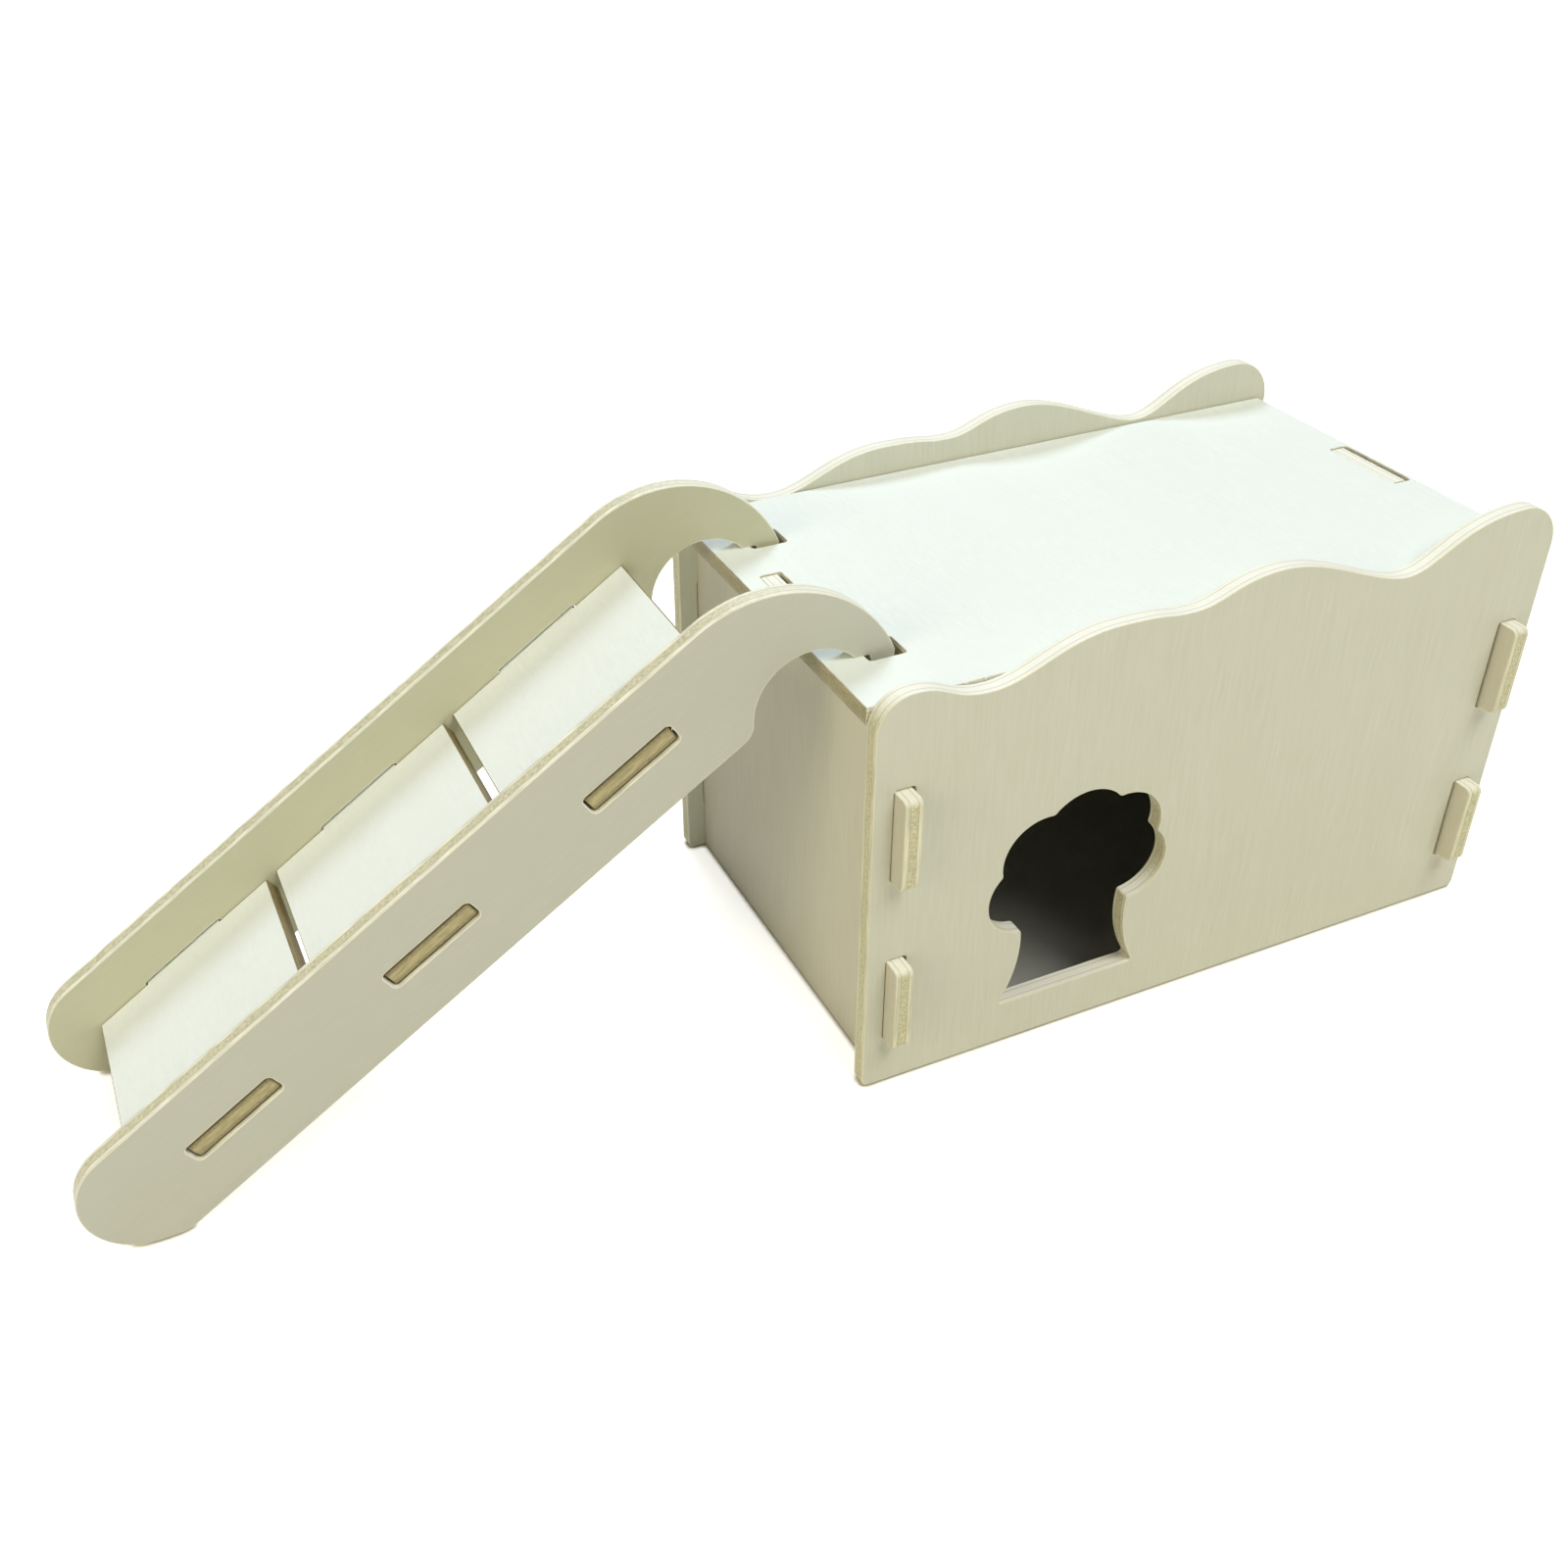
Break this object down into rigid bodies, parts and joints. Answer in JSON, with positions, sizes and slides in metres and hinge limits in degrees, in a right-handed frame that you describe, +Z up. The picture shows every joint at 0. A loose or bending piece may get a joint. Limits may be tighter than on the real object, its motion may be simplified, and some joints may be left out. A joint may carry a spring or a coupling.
{
  "type": "wooden hamster house",
  "caption": "Slotted plywood hamster house with wavy long walls, a tree-shaped doorway, a lift-off roof and a ladder whose hooked side bars hang over the roof's edge.",
  "frame": {"origin": "middle of the whole footprint, on the ground", "axes": "+X from the ladder's foot to the house's far end, +Y from the doorway wall to the back wall, +Z up"},
  "size_m": [0.4868, 0.1634, 0.1688],
  "materials": {
    "birch_plywood": "sanded, unvarnished",
    "pale_roof_plywood": "sanded, unvarnished"
  },
  "bodies": {
    "house": {"front_panel": "birch_plywood", "back_panel": "birch_plywood", "left_end_panel": "birch_plywood", "right_end_panel": "birch_plywood"},
    "roof": {"roof_panel": "pale_roof_plywood"},
    "ladder": {"ladder_near_stringer": "birch_plywood", "ladder_far_stringer": "birch_plywood", "ladder_tread_1": "birch_plywood", "ladder_tread_2": "birch_plywood", "ladder_tread_3": "birch_plywood"}
  },
  "joints": [
    {"name": "roof_lift", "type": "slide", "parent": "house", "child": "roof", "axis": [0, 0, 1], "range_m": [0, 0.04]},
    {"name": "ladder_swing", "type": "hinge", "parent": "roof", "child": "ladder", "pos_m": [0.00658, 0, 0.142], "axis": [0, 1, 0], "range_deg": [0, 12]}
  ]
}
